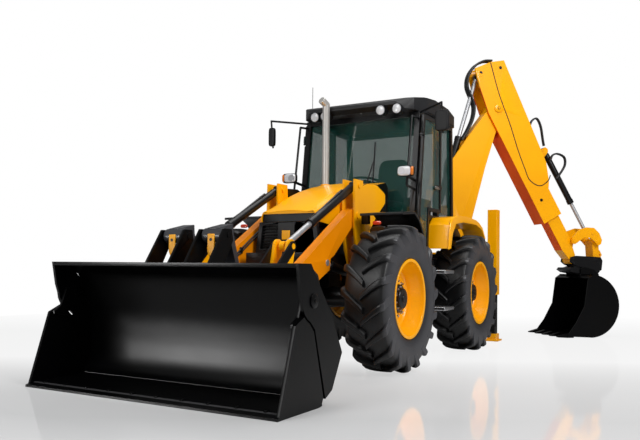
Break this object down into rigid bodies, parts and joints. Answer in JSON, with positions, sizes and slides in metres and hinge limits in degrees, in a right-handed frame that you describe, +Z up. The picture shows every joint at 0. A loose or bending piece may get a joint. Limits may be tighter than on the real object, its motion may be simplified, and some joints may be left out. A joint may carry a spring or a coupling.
{
  "type": "backhoe loader",
  "caption": "Backhoe loader with a clam shovel and flip-over forks in front, a cab, equal steered wheels, stabilisers and a side-shifted digging arm with a sliding dipper behind.",
  "frame": {"origin": "on the ground, below the middle of the bounding box", "axes": "+X forward along the machine, +Y to its left, +Z up; the backhoe is stored slewed 48 degrees to the left"},
  "size_m": [8.1723, 3.6159, 4.1001],
  "materials": {
    "yellow_paint": "gloss paint",
    "deep_yellow_paint": "gloss paint",
    "black_paint": "satin paint",
    "tyre_rubber": "matt",
    "engine_iron": "rough",
    "exhaust_steel": "brushed",
    "window_glass": "clear, slightly green",
    "chrome_rod": "polished",
    "cab_plastic": "matt",
    "seat_fabric": "woven"
  },
  "bodies": {
    "chassis_body": {"chassis": "deep_yellow_paint", "loader_towers": "yellow_paint", "axles": "black_paint", "engine": "engine_iron", "grille": "black_paint", "cowl": "yellow_paint", "front_fenders": "black_paint", "rear_body": "yellow_paint", "side_boxes": "black_paint", "exhaust": "exhaust_steel", "cab_frame": "black_paint", "roof": "black_paint", "glazing": "window_glass", "cab_interior": "cab_plastic", "seat": "seat_fabric", "lamps_and_mirrors": "cab_plastic"},
    "front_right_knuckle": {"front_right_knuckle": "black_paint"},
    "front_right_wheel": {"front_right_rim": "yellow_paint", "front_right_tyre": "tyre_rubber"},
    "front_left_knuckle": {"front_left_knuckle": "black_paint"},
    "front_left_wheel": {"front_left_rim": "yellow_paint", "front_left_tyre": "tyre_rubber"},
    "rear_right_knuckle": {"rear_right_knuckle": "black_paint"},
    "rear_right_wheel": {"rear_right_rim": "yellow_paint", "rear_right_tyre": "tyre_rubber"},
    "rear_left_knuckle": {"rear_left_knuckle": "black_paint"},
    "rear_left_wheel": {"rear_left_rim": "yellow_paint", "rear_left_tyre": "tyre_rubber"},
    "bonnet": {"bonnet": "yellow_paint"},
    "left_door": {"left_door": "black_paint"},
    "right_door": {"right_door": "black_paint"},
    "loader_arms": {"loader_arms": "deep_yellow_paint"},
    "lift_ram_tubes": {"lift_ram_tubes": "black_paint"},
    "lift_ram_rods": {"lift_ram_rods": "chrome_rod"},
    "tilt_ram_tubes": {"tilt_ram_tubes": "black_paint"},
    "tilt_ram_rods": {"tilt_ram_rods": "chrome_rod"},
    "tilt_levers": {"tilt_levers": "deep_yellow_paint"},
    "tilt_links": {"tilt_links": "deep_yellow_paint"},
    "shovel": {"shovel": "black_paint"},
    "clam_jaw": {"clam_jaw": "black_paint"},
    "forks": {"forks": "black_paint"},
    "sideshift_carriage": {"sideshift_carriage": "yellow_paint"},
    "kingpost": {"kingpost": "yellow_paint"},
    "boom": {"boom": "yellow_paint"},
    "outer_dipper": {"outer_dipper": "yellow_paint"},
    "inner_dipper": {"inner_dipper": "black_paint"},
    "tipping_lever": {"tipping_lever": "black_paint"},
    "tipping_link": {"tipping_link": "yellow_paint"},
    "left_stabiliser": {"left_stabiliser": "black_paint"},
    "right_stabiliser": {"right_stabiliser": "black_paint"},
    "digging_bucket": {"hitch": "yellow_paint", "bucket": "black_paint"},
    "boom_ram_tube": {"boom_ram_tube": "black_paint"},
    "boom_ram_rod": {"boom_ram_rod": "chrome_rod"},
    "dipper_ram_tube": {"dipper_ram_tube": "black_paint"},
    "dipper_ram_rod": {"dipper_ram_rod": "chrome_rod"},
    "bucket_ram_tube": {"bucket_ram_tube": "black_paint"},
    "bucket_ram_rod": {"bucket_ram_rod": "chrome_rod"}
  },
  "joints": [
    {"name": "front_right_steering", "type": "hinge", "parent": "chassis_body", "child": "front_right_knuckle", "pos_m": [1.677, -1.2695, 0.705], "axis": [0, 0, 1], "range_deg": [-20, 20]},
    {"name": "front_right_wheel_spin", "type": "hinge", "parent": "front_right_knuckle", "child": "front_right_wheel", "pos_m": [1.677, -1.5345, 0.705], "axis": [0, 1, 0], "continuous": true},
    {"name": "front_left_steering", "type": "hinge", "parent": "chassis_body", "child": "front_left_knuckle", "pos_m": [1.677, 0.1105, 0.705], "axis": [0, 0, 1], "range_deg": [-20, 20]},
    {"name": "front_left_wheel_spin", "type": "hinge", "parent": "front_left_knuckle", "child": "front_left_wheel", "pos_m": [1.677, 0.3755, 0.705], "axis": [0, 1, 0], "continuous": true},
    {"name": "rear_right_steering", "type": "hinge", "parent": "chassis_body", "child": "rear_right_knuckle", "pos_m": [-0.543, -1.2695, 0.705], "axis": [0, 0, 1], "range_deg": [-20, 20]},
    {"name": "rear_right_wheel_spin", "type": "hinge", "parent": "rear_right_knuckle", "child": "rear_right_wheel", "pos_m": [-0.543, -1.5345, 0.705], "axis": [0, 1, 0], "continuous": true},
    {"name": "rear_left_steering", "type": "hinge", "parent": "chassis_body", "child": "rear_left_knuckle", "pos_m": [-0.543, 0.1105, 0.705], "axis": [0, 0, 1], "range_deg": [-20, 20]},
    {"name": "rear_left_wheel_spin", "type": "hinge", "parent": "rear_left_knuckle", "child": "rear_left_wheel", "pos_m": [-0.543, 0.3755, 0.705], "axis": [0, 1, 0], "continuous": true},
    {"name": "bonnet_hinge", "type": "hinge", "parent": "chassis_body", "child": "bonnet", "pos_m": [0.945, -0.5795, 1.9], "axis": [0, -1, 0], "range_deg": [0, 55]},
    {"name": "left_door_hinge", "type": "hinge", "parent": "chassis_body", "child": "left_door", "pos_m": [0.585, 0.1955, 1.5], "axis": [0.1161, 0, -0.9932], "range_deg": [0, 75]},
    {"name": "right_door_hinge", "type": "hinge", "parent": "chassis_body", "child": "right_door", "pos_m": [0.585, -1.3545, 1.5], "axis": [-0.1161, 0, 0.9932], "range_deg": [0, 75]},
    {"name": "loader_lift", "type": "hinge", "parent": "chassis_body", "child": "loader_arms", "pos_m": [1.577, -0.5795, 1.52], "axis": [0, -1, 0], "range_deg": [0, 86]},
    {"name": "lift_ram_pivot", "type": "hinge", "parent": "chassis_body", "child": "lift_ram_tubes", "pos_m": [1.317, -0.5795, 0.88], "axis": [0, -1, 0], "range_deg": [0, 46]},
    {"name": "lift_ram_stroke", "type": "slide", "parent": "lift_ram_tubes", "child": "lift_ram_rods", "axis": [0.9826, 0, 0.1859], "range_m": [0, 0.57]},
    {"name": "tilt_ram_pivot", "type": "hinge", "parent": "chassis_body", "child": "tilt_ram_tubes", "pos_m": [1.557, -0.5795, 1.82], "axis": [0, -1, 0], "range_deg": [0, 86]},
    {"name": "shovel_tilt", "type": "hinge", "parent": "loader_arms", "child": "shovel", "pos_m": [3.307, -0.5795, 0.3], "axis": [0, 1, 0], "range_deg": [-30, 105]},
    {"name": "tilt_ram_stroke", "type": "slide", "parent": "tilt_ram_tubes", "child": "tilt_ram_rods", "axis": [0.8916, 0, -0.4528], "range_m": [-0.145, 0.5]},
    {"name": "tilt_lever_pivot", "type": "hinge", "parent": "loader_arms", "child": "tilt_levers", "pos_m": [2.977, -0.5795, 0.6], "axis": [0, 1, 0], "range_deg": [-30, 105]},
    {"name": "tilt_link_pivot", "type": "hinge", "parent": "tilt_levers", "child": "tilt_links", "pos_m": [2.837, -0.5795, 1.17], "axis": [0, 1, 0], "range_deg": [-105, 30]},
    {"name": "jaw_opening", "type": "hinge", "parent": "shovel", "child": "clam_jaw", "pos_m": [3.637, -0.5795, 0.76], "axis": [0, -1, 0], "range_deg": [0, 45]},
    {"name": "fork_flip", "type": "hinge", "parent": "shovel", "child": "forks", "pos_m": [3.442, -0.5795, 1.24], "axis": [0, 1, 0], "range_deg": [0, 251]},
    {"name": "sideshift", "type": "slide", "parent": "chassis_body", "child": "sideshift_carriage", "axis": [0, -1, 0], "range_m": [-0.53, 0.53]},
    {"name": "slew", "type": "hinge", "parent": "sideshift_carriage", "child": "kingpost", "pos_m": [-1.873, -0.5795, 0.81], "axis": [0, 0, -1], "range_deg": [-123, 27]},
    {"name": "boom_lift", "type": "hinge", "parent": "kingpost", "child": "boom", "pos_m": [-2.05367, -0.37885, 0.75], "axis": [0.7431, 0.6691, 0], "range_deg": [-118, 16]},
    {"name": "boom_ram_pivot", "type": "hinge", "parent": "kingpost", "child": "boom_ram_tube", "pos_m": [-1.95196, -0.49181, 0.93], "axis": [0.7431, 0.6691, 0], "range_deg": [-110.5, 15.5]},
    {"name": "boom_ram_stroke", "type": "slide", "parent": "boom_ram_tube", "child": "boom_ram_rod", "axis": [-0.2301, 0.2556, 0.939], "range_m": [-0.055, 0.375]},
    {"name": "dipper_crowd", "type": "hinge", "parent": "boom", "child": "outer_dipper", "pos_m": [-2.53209, 0.1525, 3.38], "axis": [-0.7431, -0.6691, 0], "range_deg": [-95, 8]},
    {"name": "dipper_ram_pivot", "type": "hinge", "parent": "boom", "child": "dipper_ram_tube", "pos_m": [-1.93322, -0.51262, 1.85], "axis": [0.7431, 0.6691, 0], "range_deg": [-2, 2]},
    {"name": "dipper_ram_stroke", "type": "slide", "parent": "dipper_ram_tube", "child": "dipper_ram_rod", "axis": [-0.1943, 0.2158, 0.9569], "range_m": [-0.82, 0.07]},
    {"name": "dipper_extension", "type": "slide", "parent": "outer_dipper", "child": "inner_dipper", "axis": [-0.3325, 0.3693, -0.8678], "range_m": [-0.34, 0.85]},
    {"name": "bucket_curl", "type": "hinge", "parent": "inner_dipper", "child": "digging_bucket", "pos_m": [-3.38858, 1.10372, 1.145], "axis": [0.7431, 0.6691, 0], "range_deg": [-65, 42]},
    {"name": "tipping_lever_pivot", "type": "hinge", "parent": "inner_dipper", "child": "tipping_lever", "pos_m": [-3.37185, 1.08514, 1.44], "axis": [0.7431, 0.6691, 0], "range_deg": [-65, 42]},
    {"name": "tipping_link_pivot", "type": "hinge", "parent": "tipping_lever", "child": "tipping_link", "pos_m": [-3.63616, 1.37869, 1.437], "axis": [0.7431, 0.6691, 0], "range_deg": [-42, 65]},
    {"name": "bucket_ram_pivot", "type": "hinge", "parent": "inner_dipper", "child": "bucket_ram_tube", "pos_m": [-3.08747, 0.76931, 2.81], "axis": [0.7431, 0.6691, 0], "range_deg": [-2, 2]},
    {"name": "bucket_ram_stroke", "type": "slide", "parent": "bucket_ram_tube", "child": "bucket_ram_rod", "axis": [-0.3374, 0.3748, -0.8635], "range_m": [-0.2, 0.305]},
    {"name": "left_stabiliser_leg", "type": "slide", "parent": "chassis_body", "child": "left_stabiliser", "axis": [0, 0, 1], "range_m": [-0.1, 0.53]},
    {"name": "right_stabiliser_leg", "type": "slide", "parent": "chassis_body", "child": "right_stabiliser", "axis": [0, 0, 1], "range_m": [-0.1, 0.53]}
  ],
  "couplings": [
    {"joint": "front_left_steering", "follows": "front_right_steering", "ratio": 1},
    {"joint": "rear_left_steering", "follows": "rear_right_steering", "ratio": 1},
    {"joint": "lift_ram_pivot", "follows": "loader_lift", "ratio": 0.533},
    {"joint": "lift_ram_stroke", "follows": "loader_lift", "m_per_rad": 0.3764},
    {"joint": "tilt_ram_pivot", "follows": "loader_lift", "ratio": 1},
    {"joint": "tilt_ram_stroke", "follows": "shovel_tilt", "m_per_rad": 0.27},
    {"joint": "tilt_lever_pivot", "follows": "shovel_tilt", "ratio": 1},
    {"joint": "tilt_link_pivot", "follows": "shovel_tilt", "ratio": -1},
    {"joint": "boom_ram_pivot", "follows": "boom_lift", "ratio": 0.93},
    {"joint": "boom_ram_stroke", "follows": "boom_lift", "m_per_rad": -0.18},
    {"joint": "dipper_ram_pivot", "follows": "dipper_crowd", "ratio": -0.01},
    {"joint": "dipper_ram_stroke", "follows": "dipper_crowd", "m_per_rad": 0.4929},
    {"joint": "tipping_lever_pivot", "follows": "bucket_curl", "ratio": 1},
    {"joint": "tipping_link_pivot", "follows": "bucket_curl", "ratio": -1},
    {"joint": "bucket_ram_pivot", "follows": "bucket_curl", "ratio": 0.02},
    {"joint": "bucket_ram_stroke", "follows": "bucket_curl", "m_per_rad": -0.265}
  ]
}
